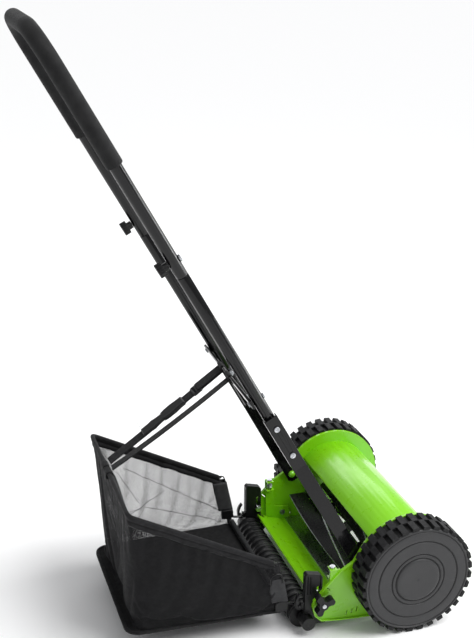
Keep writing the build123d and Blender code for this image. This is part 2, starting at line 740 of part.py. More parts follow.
STRAP_TOP = on_handle(BRACE_AT, BRACE_BACK)
STRAP_FOOT = (538.0, 312.0)
STRAND_WIDE = 24.0
STRAND_LOWER = -5.0
STRAND_UPPER = 31.0


def strap_solid(start, end, middle, width, thick):
    """A flat strap piece about x = middle, between two fractions of the way from brace to rim."""
    run = (STRAP_FOOT[0] - STRAP_TOP[0], STRAP_FOOT[1] - STRAP_TOP[1])
    length = hypot(*run)
    turn = degrees(atan2(run[1], run[0]))
    face = Pos(*STRAP_TOP) * Rot(0, 0, turn) * Pos(length * (start + end) / 2, 0)
    return prism(face * Rectangle(length * (end - start), thick), middle - width / 2, middle + width / 2)


def strap_slider():
    frame = strap_solid(0.2, 0.27, STRAND_UPPER, 30, 7)
    return frame - strap_solid(0.1, 0.4, STRAND_UPPER, STRAND_WIDE + 0.6, 2.8)


def strap_buckle():
    body = strap_solid(0.36, 0.68, STRAND_UPPER, 32, 9)
    return body - strap_solid(0.3, 0.8, STRAND_UPPER, STRAND_WIDE + 0.6, 2.8)


def catcher_pieces():
    put("catcher_rim_wire", rim_wire())
    put_pair("catcher_front_wire", front_wire())
    put_pair("catcher_side_wall", side_wall())
    put("catcher_rear_wall", rear_wall())
    put("catcher_floor", catcher_floor())
    strands = [strap_solid(0.06, 0.94, x, STRAND_WIDE, 2.2) for x in (STRAND_LOWER, STRAND_UPPER)]
    put("strap_webbing", *strands)
    put("strap_slider", strap_slider())
    put("strap_buckle", strap_buckle())


fixed_pieces()
rotating_pieces()
bed_pieces()
height_pieces()
handle_pieces()
catcher_pieces()

os.makedirs("parts", exist_ok=True)
for name, shape in NODES.items():
    export_step(shape, f"parts/{name}.step")
print(len(NODES), "nodes, axle at y =", round(AXLE_Y, 3))
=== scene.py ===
import bmesh
import bpy
import json
from math import cos, pi, radians, sin
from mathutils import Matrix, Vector, noise


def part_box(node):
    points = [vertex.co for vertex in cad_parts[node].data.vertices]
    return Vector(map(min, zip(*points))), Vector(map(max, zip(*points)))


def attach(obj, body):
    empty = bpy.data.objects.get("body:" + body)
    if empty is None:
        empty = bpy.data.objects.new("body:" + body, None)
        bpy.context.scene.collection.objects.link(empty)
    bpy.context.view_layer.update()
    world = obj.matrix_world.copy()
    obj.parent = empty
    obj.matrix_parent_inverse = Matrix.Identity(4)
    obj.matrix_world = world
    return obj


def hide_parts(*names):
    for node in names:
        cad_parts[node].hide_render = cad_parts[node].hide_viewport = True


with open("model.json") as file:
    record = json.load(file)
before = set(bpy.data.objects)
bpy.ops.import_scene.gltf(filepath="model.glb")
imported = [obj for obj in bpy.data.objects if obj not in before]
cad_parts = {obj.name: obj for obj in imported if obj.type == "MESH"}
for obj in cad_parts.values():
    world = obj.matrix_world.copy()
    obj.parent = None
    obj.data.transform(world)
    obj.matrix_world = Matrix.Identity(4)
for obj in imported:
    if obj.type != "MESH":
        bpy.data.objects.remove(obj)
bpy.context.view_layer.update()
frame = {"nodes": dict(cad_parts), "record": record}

# ---- places: millimetres across, behind the axle line and above the ground ----
hub_low, hub_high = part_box("wheel_disc_left")
AXLE_Y = (hub_low.y + hub_high.y) / 2


def at(x, y, z):
    """A point of the frame, in metres, from millimetres across, behind the axle and up."""
    return Vector((x / 1000, AXLE_Y + y / 1000, z / 1000))


def middle(node):
    """The middle of a node's box."""
    low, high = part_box(node)
    return (low + high) / 2


# ---- camera, light and floor ----
# the camera that the photograph was taken with, found from its wheels and handle
VIEW_AZIMUTH = radians(-108.046)
VIEW_ELEVATION = radians(20.535)
VIEW_DISTANCE = 2.0623
VIEW_TARGET = Vector((0.0, 0.00803, 0.59073))
FOCAL_LENGTH = 61.949
SENSOR = 36.0
KEY_STRENGTH = 2.9
KEY_SPREAD = radians(45)
KEY_AZIMUTH = radians(-28)
KEY_ELEVATION = radians(50)
SKY_STRENGTH = 0.36
SKY_COLOUR = (0.97, 0.98, 1.0, 1)
LIT_POINT = Vector((0, 0, 0.4))
# azimuth and elevation in degrees, distance, width and height in metres, power in watts
SOFTBOXES = {
    "front_strip": (3, 6, 3.2, 0.32, 1.5, 30),
    "side_strip": (-150, 30, 3.2, 0.3, 1.8, 8),
    "top_softbox": (-40, 72, 2.6, 1.8, 1.8, 14),
    "far_softbox": (70, 27, 3.4, 3.0, 1.3, 24),
}
FLOOR_HALF = 40.0
FLOOR_COLOUR = (0.95, 0.95, 0.95, 1)


def direction(azimuth, elevation):
    """The unit vector from the object towards a place around it."""
    return Vector((sin(azimuth) * cos(elevation), -cos(azimuth) * cos(elevation), sin(elevation)))


def facing(towards):
    """The rotation of a camera or light that looks back along a direction."""
    return (-towards).to_track_quat("-Z", "Y").to_euler()


def add_to_scene(name, data):
    made = bpy.data.objects.new(name, data)
    bpy.context.scene.collection.objects.link(made)
    return made


def make_camera():
    back = direction(VIEW_AZIMUTH, VIEW_ELEVATION)
    data = bpy.data.cameras.new("camera")
    data.lens = FOCAL_LENGTH
    data.sensor_width = SENSOR
    data.clip_start = 0.05
    data.clip_end = 200
    camera = add_to_scene("camera", data)
    camera.location = VIEW_TARGET + back * VIEW_DISTANCE
    camera.rotation_euler = facing(back)
    bpy.context.scene.camera = camera


def softbox(name, azimuth, elevation, distance, width, height, power):
    """A rectangular studio light that faces the machine's middle."""
    towards = direction(radians(azimuth), radians(elevation))
    data = bpy.data.lights.new(name, "AREA")
    data.shape = "RECTANGLE"
    data.size = width
    data.size_y = height
    data.energy = power
    light = add_to_scene(name, data)
    light.location = LIT_POINT + towards * distance
    light.rotation_euler = facing(towards)


def make_studio():
    key = bpy.data.lights.new("key_light", "SUN")
    key.energy = KEY_STRENGTH
    key.angle = KEY_SPREAD
    add_to_scene("key_light", key).rotation_euler = facing(direction(KEY_AZIMUTH, KEY_ELEVATION))
    for name, placing in SOFTBOXES.items():
        softbox(name, *placing)
    world = bpy.data.worlds.new("studio")
    world.use_nodes = True
    background = world.node_tree.nodes["Background"]
    background.inputs["Color"].default_value = SKY_COLOUR
    background.inputs["Strength"].default_value = SKY_STRENGTH
    bpy.context.scene.world = world
    bpy.context.scene.view_settings.view_transform = "Standard"


# ---- materials ----
def srgb(red, green, blue):
    """A linear colour from the 0-255 values of a colour swatch."""
    def linear(value):
        value /= 255
        return value / 12.92 if value <= 0.04045 else ((value + 0.055) / 1.055) ** 2.4
    return (linear(red), linear(green), linear(blue), 1.0)


def tinted(colour, factor):
    """A linear colour made lighter or darker."""
    return tuple(part * factor for part in colour[:3]) + (1.0,)


class Finish:
    """A Principled material, with short calls for the procedural detail on it."""

    def __init__(self, name, colour, roughness, **sockets):
        self.material = bpy.data.materials.new(name)
        self.material.use_nodes = True
        self.tree = self.material.node_tree
        self.shader = self.tree.nodes["Principled BSDF"]
        self.place = self.node("TexCoord").outputs["Object"]
        self.set(self.shader.inputs["Base Color"], colour)
        self.set(self.shader.inputs["Roughness"], roughness)
        for socket, value in sockets.items():
            self.set(self.shader.inputs[socket.replace("_", " ")], value)

    def node(self, kind, **settings):
        made = self.tree.nodes.new("ShaderNode" + kind)
        for key, value in settings.items():
            setattr(made, key, value)
        return made

    def set(self, socket, value):
        if isinstance(value, bpy.types.NodeSocket):
            self.tree.links.new(value, socket)
        else:
            socket.default_value = value

    def maths(self, operation, first, second=0.0):
        made = self.node("Math", operation=operation)
        self.set(made.inputs[0], first)
        self.set(made.inputs[1], second)
        return made.outputs[0]

    def times(self, first, second):
        return self.maths("MULTIPLY", first, second)

    def noise(self, scale, detail=3.0, stretch=None):
        """Noise from 0 to 1, with scale in features per metre."""
        made = self.node("TexNoise")
        vector = self.place
        if stretch:
            mapping = self.node("Mapping")
            mapping.inputs["Scale"].default_value = stretch
            self.set(mapping.inputs["Vector"], vector)
            vector = mapping.outputs["Vector"]
        self.set(made.inputs["Vector"], vector)
        made.inputs["Scale"].default_value = scale
        made.inputs["Detail"].default_value = detail
        return made.outputs[0]

    def cells(self, scale):
        made = self.node("TexVoronoi")
        self.set(made.inputs["Vector"], self.place)
        made.inputs["Scale"].default_value = scale
        return made.outputs["Distance"]

    def span(self, value, low, high, to_low=0.0, to_high=1.0):
        """A value remapped from one range to another, and kept inside it."""
        made = self.node("MapRange")
        self.set(made.inputs["Value"], value)
        ends = {"From Min": low, "From Max": high, "To Min": to_low, "To Max": to_high}
        for socket, number in ends.items():
            made.inputs[socket].default_value = number
        return made.outputs["Result"]

    def mix(self, factor, first, second):
        made = self.node("Mix", data_type="RGBA")
        self.set(made.inputs["Factor"], factor)
        self.set(made.inputs[6], first)
        self.set(made.inputs[7], second)
        return made.outputs[2]

    def edges(self, width):
        """1 along outside and inside edges, 0 on open surfaces."""
        rounded = self.node("Bevel", samples=4)
        rounded.inputs["Radius"].default_value = width
        plain = self.node("NewGeometry").outputs["Normal"]
        product = self.node("VectorMath", operation="DOT_PRODUCT")
        self.set(product.inputs[0], rounded.outputs["Normal"])
        self.set(product.inputs[1], plain)
        return self.span(product.outputs["Value"], 0.995, 0.90)

    def worn(self, width, share):
        """The share of wear along the edges."""
        return self.times(self.edges(width), share)

    def colour(self, value):
        self.set(self.shader.inputs["Base Color"], value)

    def roughness(self, value):
        self.set(self.shader.inputs["Roughness"], value)

    def bump(self, height, depth):
        """Adds relief, with depth in metres for a height of 1."""
        made = self.node("Bump")
        made.inputs["Distance"].default_value = depth
        made.inputs["Strength"].default_value = 1.0
        self.set(made.inputs["Height"], height)
        below = self.shader.inputs["Normal"].links
        if below:
            self.set(made.inputs["Normal"], below[0].from_socket)
        self.set(self.shader.inputs["Normal"], made.outputs["Normal"])

    def distance_from(self, centre):
        """The distance, in metres, from a line across the machine through a point."""
        parts = self.node("SeparateXYZ")
        self.set(parts.inputs[0], self.place)
        across = self.maths("SUBTRACT", parts.outputs["Y"], centre.y)
        up = self.maths("SUBTRACT", parts.outputs["Z"], centre.z)
        square = self.maths("ADD", self.times(across, across), self.times(up, up))
        return self.maths("SQRT", square)

    def fold(self, first, second, parts):
        """1 along a fold line between two places on the side walls, fading off beside it."""
        start, end = at(0, *first), at(0, *second)
        length = (end - start).length
        way = (end - start) / length
        behind = self.maths("SUBTRACT", parts.outputs["Y"], start.y)
        up = self.maths("SUBTRACT", parts.outputs["Z"], start.z)
        along = self.maths("ADD", self.times(behind, way.y), self.times(up, way.z))
        aside = self.maths("SUBTRACT", self.times(behind, way.z), self.times(up, way.y))
        line = self.span(self.maths("ABSOLUTE", aside), 0.0, FOLD_WIDTH, 1.0, 0.0)
        after_start = self.span(along, 0.0, FOLD_FADE)
        before_end = self.span(along, length, length - FOLD_FADE)
        return self.times(line, self.times(after_start, before_end))

    def weave(self, pitch):
        """(u, v) sawtooth fractions of a plain weave laid along the piece's UV map, in metres."""
        parts = self.node("SeparateXYZ")
        self.set(parts.inputs[0], self.node("TexCoord").outputs["UV"])
        scaled = [self.maths("DIVIDE", parts.outputs[axis], pitch) for axis in ("X", "Y")]
        return [self.maths("FRACT", value) for value in scaled]


def lime_paint(name, colour, edge_colour):
    """Glossy powder coat, lighter where it runs thin over the edges."""
    paint = Finish(name, colour, 0.34, Coat_Weight=0.5, Coat_Roughness=0.2)
    deep = tinted(colour, 0.94)
    tone = paint.mix(paint.noise(14, 4), deep, colour)
    paint.colour(paint.mix(paint.worn(0.0014, 0.6), tone, edge_colour))
    paint.roughness(paint.span(paint.noise(45, 5), 0.3, 0.7, 0.25, 0.36))
    paint.bump(paint.noise(260, 1), 0.000004)
    paint.bump(paint.noise(12, 1), 0.00003)
    return paint.material


def black_enamel(name, colour, roughness):
    """Black gloss paint with scuffed edges."""
    coat = {"Specular_IOR_Level": 0.3, "Coat_Weight": 0.1, "Coat_Roughness": 0.06}
    enamel = Finish(name, colour, roughness, **coat)
    scuffs = enamel.worn(0.001, enamel.span(enamel.noise(160, 5), 0.42, 0.62))
    tone = enamel.mix(enamel.noise(40, 4), colour, tinted(colour, 1.5))
    enamel.colour(enamel.mix(scuffs, tone, tinted(colour, 2.6)))
    enamel.roughness(enamel.span(enamel.noise(70, 5), 0.3, 0.7, roughness * 0.75, roughness * 1.35))
    enamel.bump(enamel.noise(300, 1), 0.000003)
    return enamel.material


def plated_steel(name, bright, dull, roughness):
    """Zinc-plated or bare steel, with a fine grain."""
    plate = Finish(name, bright, roughness, Metallic=1.0)
    tone = plate.mix(plate.span(plate.noise(120, 5), 0.35, 0.65), dull, bright)
    plate.colour(plate.mix(plate.edges(0.0006), tone, srgb(226, 227, 230)))
    plate.roughness(plate.span(plate.noise(200, 4), 0.3, 0.7, roughness * 0.7, roughness * 1.4))
    plate.bump(plate.noise(900, 2), 0.000012)
    return plate.material


# how far inside the blades' outer radius the ground band starts and is fully bright
GROUND_BAND = (0.0016, 0.0011)


def ground_blade(name, centre, edge_radius):
    """Dark painted steel with a bright ground band at its cutting edge."""
    blade = Finish(name, srgb(20, 20, 21), 0.32, Metallic=0.0)
    radius = blade.distance_from(centre)
    ground = blade.span(radius, edge_radius - GROUND_BAND[0], edge_radius - GROUND_BAND[1])
    paint = blade.mix(blade.noise(60, 4), srgb(16, 16, 17), srgb(32, 32, 33))
    scratches = blade.noise(900, 3, stretch=(0.04, 1, 1))
    steel = blade.mix(scratches, srgb(150, 152, 155), srgb(222, 224, 228))
    blade.colour(blade.mix(ground, paint, steel))
    blade.set(blade.shader.inputs["Metallic"], ground)
    blade.roughness(blade.span(blade.noise(300, 4), 0.3, 0.7, 0.22, 0.4))
    blade.bump(blade.noise(800, 3, stretch=(0.05, 1, 1)), 0.00002)
    return blade.material


def fine_plastic(name, colour, roughness, grain, depth):
    """Moulded plastic as a Finish, for more to be added to it."""
    plastic = Finish(name, colour, roughness, Specular_IOR_Level=0.34)
    tone = plastic.mix(plastic.noise(35, 4), colour, tinted(colour, 1.25))
    plastic.colour(plastic.mix(plastic.worn(0.0009, 0.7), tone, tinted(colour, 1.7)))
    plastic.roughness(plastic.span(plastic.noise(90, 4), 0.3, 0.7, roughness * 0.88, roughness * 1.12))
    plastic.bump(plastic.cells(grain), depth)
    plastic.bump(plastic.noise(grain * 1.6, 2), depth * 0.5)
    return plastic


def moulded_plastic(name, colour, roughness):
    return fine_plastic(name, colour, roughness, 1100, 0.00003).material


# radii of the hubcap's grooves, where shade is painted into the plastic, in metres
HUBCAP_GROOVES = (0.0461, 0.0546, 0.0822, 0.1027)


def grooved_plastic(name, colour, roughness, centre):
    """The hubcap's plastic, with painted shade: darker in the bottom of each round groove about its centre.
    """
    plastic = fine_plastic(name, colour, roughness, 1500, 0.000018)
    radius = plastic.distance_from(centre)
    painted_groove_shade = plastic.shader.inputs["Base Color"].links[0].from_socket
    # painted shade: the bottom of each groove is darkened towards a quarter of the plastic's colour
    for groove in HUBCAP_GROOVES:
        off = plastic.maths("ABSOLUTE", plastic.maths("SUBTRACT", radius, groove))
        painted_groove_shade = plastic.mix(plastic.span(off, 0.0006, 0.0012, 0.85, 0.0), painted_groove_shade, tinted(colour, 0.25))
    plastic.colour(painted_groove_shade)
    return plastic.material


# the radii between which the tread's outer faces turn lighter
TREAD_LIGHTER = (0.112, 0.115)


def tyre_rubber():
    rubber = Finish("tyre", srgb(18, 18, 19), 0.66, Specular_IOR_Level=0.36)
    outer = rubber.span(rubber.distance_from(middle("tyre_left")), *TREAD_LIGHTER)
    # lighter towards the tread's outer faces, varied by noise
    outer_lighter = rubber.times(outer, rubber.span(rubber.noise(120, 5), 0.35, 0.7))
    tone = rubber.mix(rubber.noise(30, 4), srgb(14, 14, 15), srgb(23, 23, 24))
    rubber.colour(rubber.mix(outer_lighter, tone, srgb(33, 33, 35)))
    rubber.roughness(rubber.span(rubber.noise(150, 4), 0.3, 0.7, 0.52, 0.76))
    rubber.bump(rubber.noise(700, 4), 0.00008)
    return rubber.material


def foam():
    soft = {"Specular_IOR_Level": 0.3, "Sheen_Weight": 0.05, "Sheen_Roughness": 0.5}
    grip = Finish("foam", srgb(15, 15, 16), 0.75, **soft)
    pores = grip.cells(1500)
    # painted shade: darker in the bottom of each pore, lighter on the rims between pores
    grip.colour(grip.mix(grip.span(pores, 0.0, 0.5), srgb(9, 9, 10), srgb(22, 22, 23)))
    grip.roughness(grip.span(grip.noise(60, 4), 0.3, 0.7, 0.72, 0.9))
    grip.bump(pores, 0.00018)
    grip.bump(grip.noise(90, 4), 0.0003)
    return grip.material


MESH_PITCH = 0.0021
# the share of the pitch that the yarn covers, at the sides and the rear, and more on a fold
SIDE_YARN = 0.25
REAR_YARN = 0.5
FOLD_YARN = 0.22
FOLD_WIDTH = 0.0016
FOLD_FADE = 0.01
# fold lines across the side walls: (behind the axle, up) of both ends, in millimetres
FOLDS = (
    ((480, 223), (262, 78)),
    ((386, 153), (474, 106)),
    ((473, 114), (438, 122)),
    ((438, 122), (258, 53)),
    ((492, 217), (446, 132)),
)


def open_mesh():
    """Black knitted mesh: yarns both ways with real holes between them."""
    mesh = Finish("mesh_fabric", srgb(24, 24, 25), 0.8, Specular_IOR_Level=0.15, Sheen_Weight=0.04)
    u, v = mesh.weave(MESH_PITCH)
    parts = mesh.node("SeparateXYZ")
    mesh.set(parts.inputs[0], mesh.place)
    rear = at(0, REAR_FOOT[1], 0).y
    width = mesh.span(parts.outputs["Y"], rear - 0.05, rear - 0.025, SIDE_YARN, REAR_YARN)
    for first, second in FOLDS:
        width = mesh.maths("ADD", width, mesh.times(mesh.fold(first, second, parts), FOLD_YARN))
    yarn = mesh.maths("MAXIMUM", mesh.maths("LESS_THAN", u, width), mesh.maths("LESS_THAN", v, width))
    mesh.set(mesh.shader.inputs["Alpha"], yarn)
    mesh.colour(mesh.mix(mesh.noise(60, 4), srgb(17, 17, 18), srgb(32, 32, 34)))
    mesh.roughness(mesh.span(mesh.noise(130, 3), 0.3, 0.7, 0.68, 0.88))
    mesh.bump(mesh.noise(1400, 2), 0.0001)
    return mesh.material


def close_cloth(name, dark, light, pitch, depth):
    """A close plain weave: over-and-under relief in both directions, with a soft sheen, and painted shade in
    the hollows between the yarns.
    """
    cloth = Finish(name, dark, 0.8, Specular_IOR_Level=0.2, Sheen_Weight=0.08, Sheen_Roughness=0.4)
    u, v = cloth.weave(pitch)
    crown_u = cloth.maths("SINE", cloth.times(u, pi))
    crown_v = cloth.maths("SINE", cloth.times(v, pi))
    relief = cloth.maths("MAXIMUM", crown_u, crown_v)
    # painted shade: darker in the hollows between the yarns, lighter on the yarn crowns where the noise is
    # high
    cloth.colour(cloth.mix(cloth.times(relief, cloth.noise(70, 4)), dark, light))
    cloth.roughness(cloth.span(cloth.noise(110, 4), 0.3, 0.7, 0.7, 0.9))
    cloth.bump(relief, depth)
    cloth.bump(cloth.noise(60, 3), 0.0004)
    return cloth.material


def webbing(name, dark, light):
    """Ribbed strap webbing: ribs run along the strap, with fine cross threads and painted shade between
    them.
    """
    strap = Finish(name, dark, 0.75, Specular_IOR_Level=0.25, Sheen_Weight=0.06, Sheen_Roughness=0.4)
    u, v = strap.weave(0.0016)
    ribs = strap.maths("SINE", strap.times(v, pi))
    threads = strap.maths("SINE", strap.times(u, pi))
    relief = strap.maths("ADD", strap.times(ribs, 0.7), strap.times(threads, 0.3))
    # painted shade: darker between the ribs and threads, lighter on their crowns where the noise is high
    strap.colour(strap.mix(strap.times(relief, strap.noise(90, 4)), dark, light))
    strap.roughness(strap.span(strap.noise(120, 4), 0.3, 0.7, 0.65, 0.85))
    strap.bump(relief, 0.00035)
    return strap.material


def make_materials():
    """Every material, by the name of its slot in the record or of the piece that it is for."""
    reel_low, reel_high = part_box("reel_blades")
    reel_radius = (reel_high.z - reel_low.z) / 2
    return {
        "green_paint": lime_paint("green_paint", srgb(129, 205, 12), srgb(176, 232, 70)),
        "green_cap": lime_paint("green_cap", srgb(118, 196, 20), srgb(170, 228, 80)),
        "black_paint": black_enamel("black_paint", srgb(9, 9, 10), 0.15),
        "zinc": plated_steel("zinc", srgb(205, 207, 211), srgb(150, 153, 158), 0.3),
        "gear_steel": plated_steel("gear_steel", srgb(128, 128, 130), srgb(76, 76, 78), 0.38),
        "blade_steel": ground_blade("blade_steel", middle("reel_shaft"), reel_radius),
        "bearing_plastic": moulded_plastic("bearing_plastic", srgb(34, 34, 35), 0.42),
        "black_plastic": moulded_plastic("black_plastic", srgb(14, 14, 15), 0.4),
        "hubcap": grooved_plastic("hubcap", srgb(52, 52, 53), 0.46, middle("hubcap_left")),
        "tyre": tyre_rubber(),
        "foam": foam(),
        "mesh_fabric": open_mesh(),
        "hem_fabric": close_cloth(
            "hem_fabric", srgb(14, 14, 15), srgb(44, 44, 46), pitch=0.0015, depth=0.0003
        ),
        "floor_panel": close_cloth(
            "floor_panel", srgb(13, 13, 14), srgb(28, 28, 30), pitch=0.0012, depth=0.00012
        ),
        "webbing": webbing("webbing", srgb(8, 8, 9), srgb(25, 25, 27)),
        "loop_webbing": webbing("loop_webbing", srgb(40, 40, 41), srgb(78, 78, 80)),
    }


# ---- mesh helpers ----
def new_object(name, verts, faces, uvs=None, smooth=True):
    """A mesh piece; uvs, in metres, are one pair for each corner of each face."""
    data = bpy.data.meshes.new(name)
    data.from_pydata([tuple(v) for v in verts], [], faces)
    if uvs:
        layer = data.uv_layers.new(name="UVMap")
        corner = 0
        for face in uvs:
            for pair in face:
                layer.data[corner].uv = pair
                corner += 1
    for polygon in data.polygons:
        polygon.use_smooth = smooth
    return add_to_scene(name, data)


def finish_piece(piece, body, slot, material=None):
    """Gives a new piece its body and its material: the slot's, unless another material is named."""
    piece.data.materials.clear()
    piece.data.materials.append(materials[material or slot])
    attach(piece, body)
    return piece


def apply_modifiers(piece):
    """Keeps the mesh that the piece's modifiers make, and drops them."""
    graph = bpy.context.evaluated_depsgraph_get()
    result = bpy.data.meshes.new_from_object(piece.evaluated_get(graph))
    piece.modifiers.clear()
    piece.data = result


def lengths(points):
    """The running length along a line of points."""
    total = [0.0]
    for first, second in zip(points, points[1:]):
        total.append(total[-1] + (second - first).length)
    return total


def grid_sheet(name, rows):
    """A sheet through rows of points, with UVs in metres along and down it."""
    across = len(rows[0])
    verts = [point for row in rows for point in row]
    run = [lengths(row) for row in rows]
    drop = [0.0]
    for first, second in zip(rows, rows[1:]):
        steps = [(b - a).length for a, b in zip(first, second)]
        drop.append(drop[-1] + sum(steps) / len(steps))
    faces, uvs = [], []
    for r in range(len(rows) - 1):
        for c in range(across - 1):
            quad = ((r, c), (r, c + 1), (r + 1, c + 1), (r + 1, c))
            faces.append([i * across + j for i, j in quad])
            uvs.append([(run[i][j], drop[i]) for i, j in quad])
    return new_object(name, verts, faces, uvs)


def skin(loops, run, girth, closed=False):
    """Faces and UVs over a row of loops of points; closed joins the last loop to the first."""
    around = len(loops[0])
    faces, uvs = [], []
    for i in range(len(loops) if closed else len(loops) - 1):
        for j in range(around):
            quad = ((i, j), (i, j + 1), (i + 1, j + 1), (i + 1, j))
            faces.append([row % len(loops) * around + column % around for row, column in quad])
            uvs.append([(run[row], girth[column]) for row, column in quad])
    return faces, uvs


def sleeve(name, line, section):
    """A closed skin that follows a line; section(i) gives the loop of points at step i."""
    loops = [section(i) for i in range(len(line))]
    around = range(len(loops[0]))
    run = lengths(line)
    girth = lengths(loops[0] + [loops[0][0]])
    faces, uvs = skin(loops, run, girth)
    faces.append(list(around)[::-1])
    uvs.append([(run[0], girth[j]) for j in around][::-1])
    last = (len(loops) - 1) * len(around)
    faces.append([last + j for j in around])
    uvs.append([(run[-1], girth[j]) for j in around])
    made = new_object(name, [point for loop in loops for point in loop], faces, uvs)
    made.data.validate()
    return made


def ripple(value, scale, seed):
    """Smooth, repeatable unevenness between about -1 and 1."""
    return noise.noise(Vector((value * scale, seed * 7.31, seed * 1.7)))


# ---- the grass catcher's soft goods ----
# the left corners of the rim wire and of the floor panel: (across, behind the axle, up)
FRONT_TOP = (175.0, 262.0, 160.0)
REAR_TOP = (169.0, 540.0, 309.0)
FRONT_FOOT = (165.0, 241.0, 47.0)
REAR_FOOT = (155.0, 546.0, 52.0)
WALL_REAR_FOOT = (154.0, 532.0, 53.0)
RIM_BEND = 14.0
FLOOR_BEND = 28.0
SIDE_STEPS = 56
BEND_STEPS = 8
REAR_STEPS = 60
DOWN_STEPS = 44
HEM_DROP = 0.0045
BAG_CENTRE = at(0, 400, 150)
SIDES = ((1, "left"), (-1, "right"))
UP = Vector((0, 0, 1))
BACK = Vector((0, 1, 0))
ACROSS = Vector((1, 0, 0))
# how far the walls bow in, and how deep their broad and fine creases are, in metres
SIDE_BOW = 0.0045
REAR_BOW = 0.019
BROAD_CREASE = 0.0022
FINE_CREASE = 0.0013
CLOTH_STEPS = 30
CLOTH_SHRINK = -0.022
CLOTH_LIMIT = 0.012
WALL_THICK = 0.0008


def bag_line(front, rear, bend):
    """A level line round the bag: up the left side, round the rear and down the right."""
    front_left, rear_left = at(*front), at(*rear)
    back = (rear_left - front_left).normalized()
    side_end = rear_left - back * bend / 1000
    rear_start = rear_left - ACROSS * bend / 1000
    half = [front_left.lerp(side_end, i / SIDE_STEPS) for i in range(SIDE_STEPS)]
    for i in range(BEND_STEPS + 1):
        t = i / BEND_STEPS
        half.append(side_end.lerp(rear_left, t).lerp(rear_left.lerp(rear_start, t), t))
    centre = Vector((0, rear_left.y, rear_left.z))
    half += [rear_start.lerp(centre, i / (REAR_STEPS / 2)) for i in range(1, REAR_STEPS // 2 + 1)]
    mirror = [Vector((-p.x, p.y, p.z)) for p in reversed(half[:-1])]
    return half + mirror


def inwards(point):
    """The level way from a point to the bag's middle."""
    return Vector((BAG_CENTRE.x - point.x, BAG_CENTRE.y - point.y, 0))


def bag_rows():
    """The bag's wall at rest, from the rim wire down to the floor panel's edge."""
    top = bag_line(FRONT_TOP, REAR_TOP, RIM_BEND)
    foot = bag_line(FRONT_FOOT, WALL_REAR_FOOT, FLOOR_BEND)
    count = len(top)
    rows = []
    for r in range(DOWN_STEPS + 1):
        v = r / DOWN_STEPS
        row = []
        for c in range(count):
            point = (top[c] + Vector((0, 0, -HEM_DROP))).lerp(foot[c], v)
            u = c / (count - 1)
            rear = max(0.0, 1 - abs(u - 0.5) / 0.2)
            side = min(1.0, 4 * min(u, 1 - u))
            bow = SIDE_BOW * side + REAR_BOW * rear ** 1.2
            swell = sin(pi * v ** 1.25) ** 0.8
            broad = noise.noise(Vector((u * 21 + v * 4.0, v * 2.2 - u * 6, 3.1)))
            fine = noise.noise(Vector((u * 52 - v * 9.0, v * 5.0 + u * 8, 8.7)))
            crease = BROAD_CREASE * broad + FINE_CREASE * fine
            row.append(point + inwards(point).normalized() * (bow * swell + crease * swell))
        rows.append(row)
    return rows


def settle(piece, pinned):
    """Lets the cloth hang between its pinned edges, and caps how far a point may move."""
    start = [v.co.copy() for v in piece.data.vertices]
    group = piece.vertex_groups.new(name="pinned")
    group.add(pinned, 1.0, "REPLACE")
    cloth = piece.modifiers.new("Cloth", "CLOTH").settings
    cloth.quality = 6
    cloth.mass = 0.12
    cloth.tension_stiffness = 18
    cloth.compression_stiffness = 12
    cloth.shear_stiffness = 6
    cloth.bending_stiffness = 0.35
    cloth.vertex_group_mass = "pinned"
    cloth.shrink_min = CLOTH_SHRINK
    cloth.shrink_max = CLOTH_SHRINK
    scene = bpy.context.scene
    for step in range(1, CLOTH_STEPS + 1):
        scene.frame_set(step)
    apply_modifiers(piece)
    scene.frame_set(1)
    for vertex, first in zip(piece.data.vertices, start):
        moved = vertex.co - first
        if moved.length > CLOTH_LIMIT:
            vertex.co = first + moved * (CLOTH_LIMIT / moved.length)


def make_bag():
    """The mesh bag, and the area of its wall as a flat sheet."""
    rows = bag_rows()
    across = len(rows[0])
    bag = grid_sheet("catcher_bag", rows)
    last = len(rows) - 1
    pinned = list(range(across)) + [last * across + c for c in range(across)]
    pinned += [r * across + c for r in range(1, last) for c in (0, across - 1)]
    settle(bag, pinned)
    area = sum(polygon.area for polygon in bag.data.polygons)
    wall = bag.modifiers.new("thickness", "SOLIDIFY")
    wall.thickness = WALL_THICK
    wall.offset = 0
    apply_modifiers(bag)
    finish_piece(bag, "catcher", "mesh_fabric")
    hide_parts("catcher_side_wall_left", "catcher_side_wall_right", "catcher_rear_wall")
    return bag, area


WIRE = 0.0025
HEM_TALL = 0.0225
HEM_RADIUS = WIRE + 0.0016
# (share of the way down, half thickness): a stitched line, a soft roll and a thin edge
HEM_PROFILE = ((0.34, 0.0034), (0.42, 0.0011), (0.5, 0.0027), (0.82, 0.0028), (1.0, 0.001))
REAR_LEAN = 0.7
ROUND_STEPS = 8


def folded_over(wire, down, outward, radius, depth, profile, sway):
    """A loop of cloth: round a wire, then down as two layers to an edge that sways to one side."""
    points = []
    for k in range(ROUND_STEPS + 1):
        turn = pi * k / ROUND_STEPS
        points.append(wire - down * radius * sin(turn) + outward * radius * cos(turn))
    for share, half in profile:
        points.append(wire + down * depth * share - outward * (half - sway * share))
    for share, half in reversed(profile):
        points.append(wire + down * depth * share + outward * (half + sway * share))
    return points


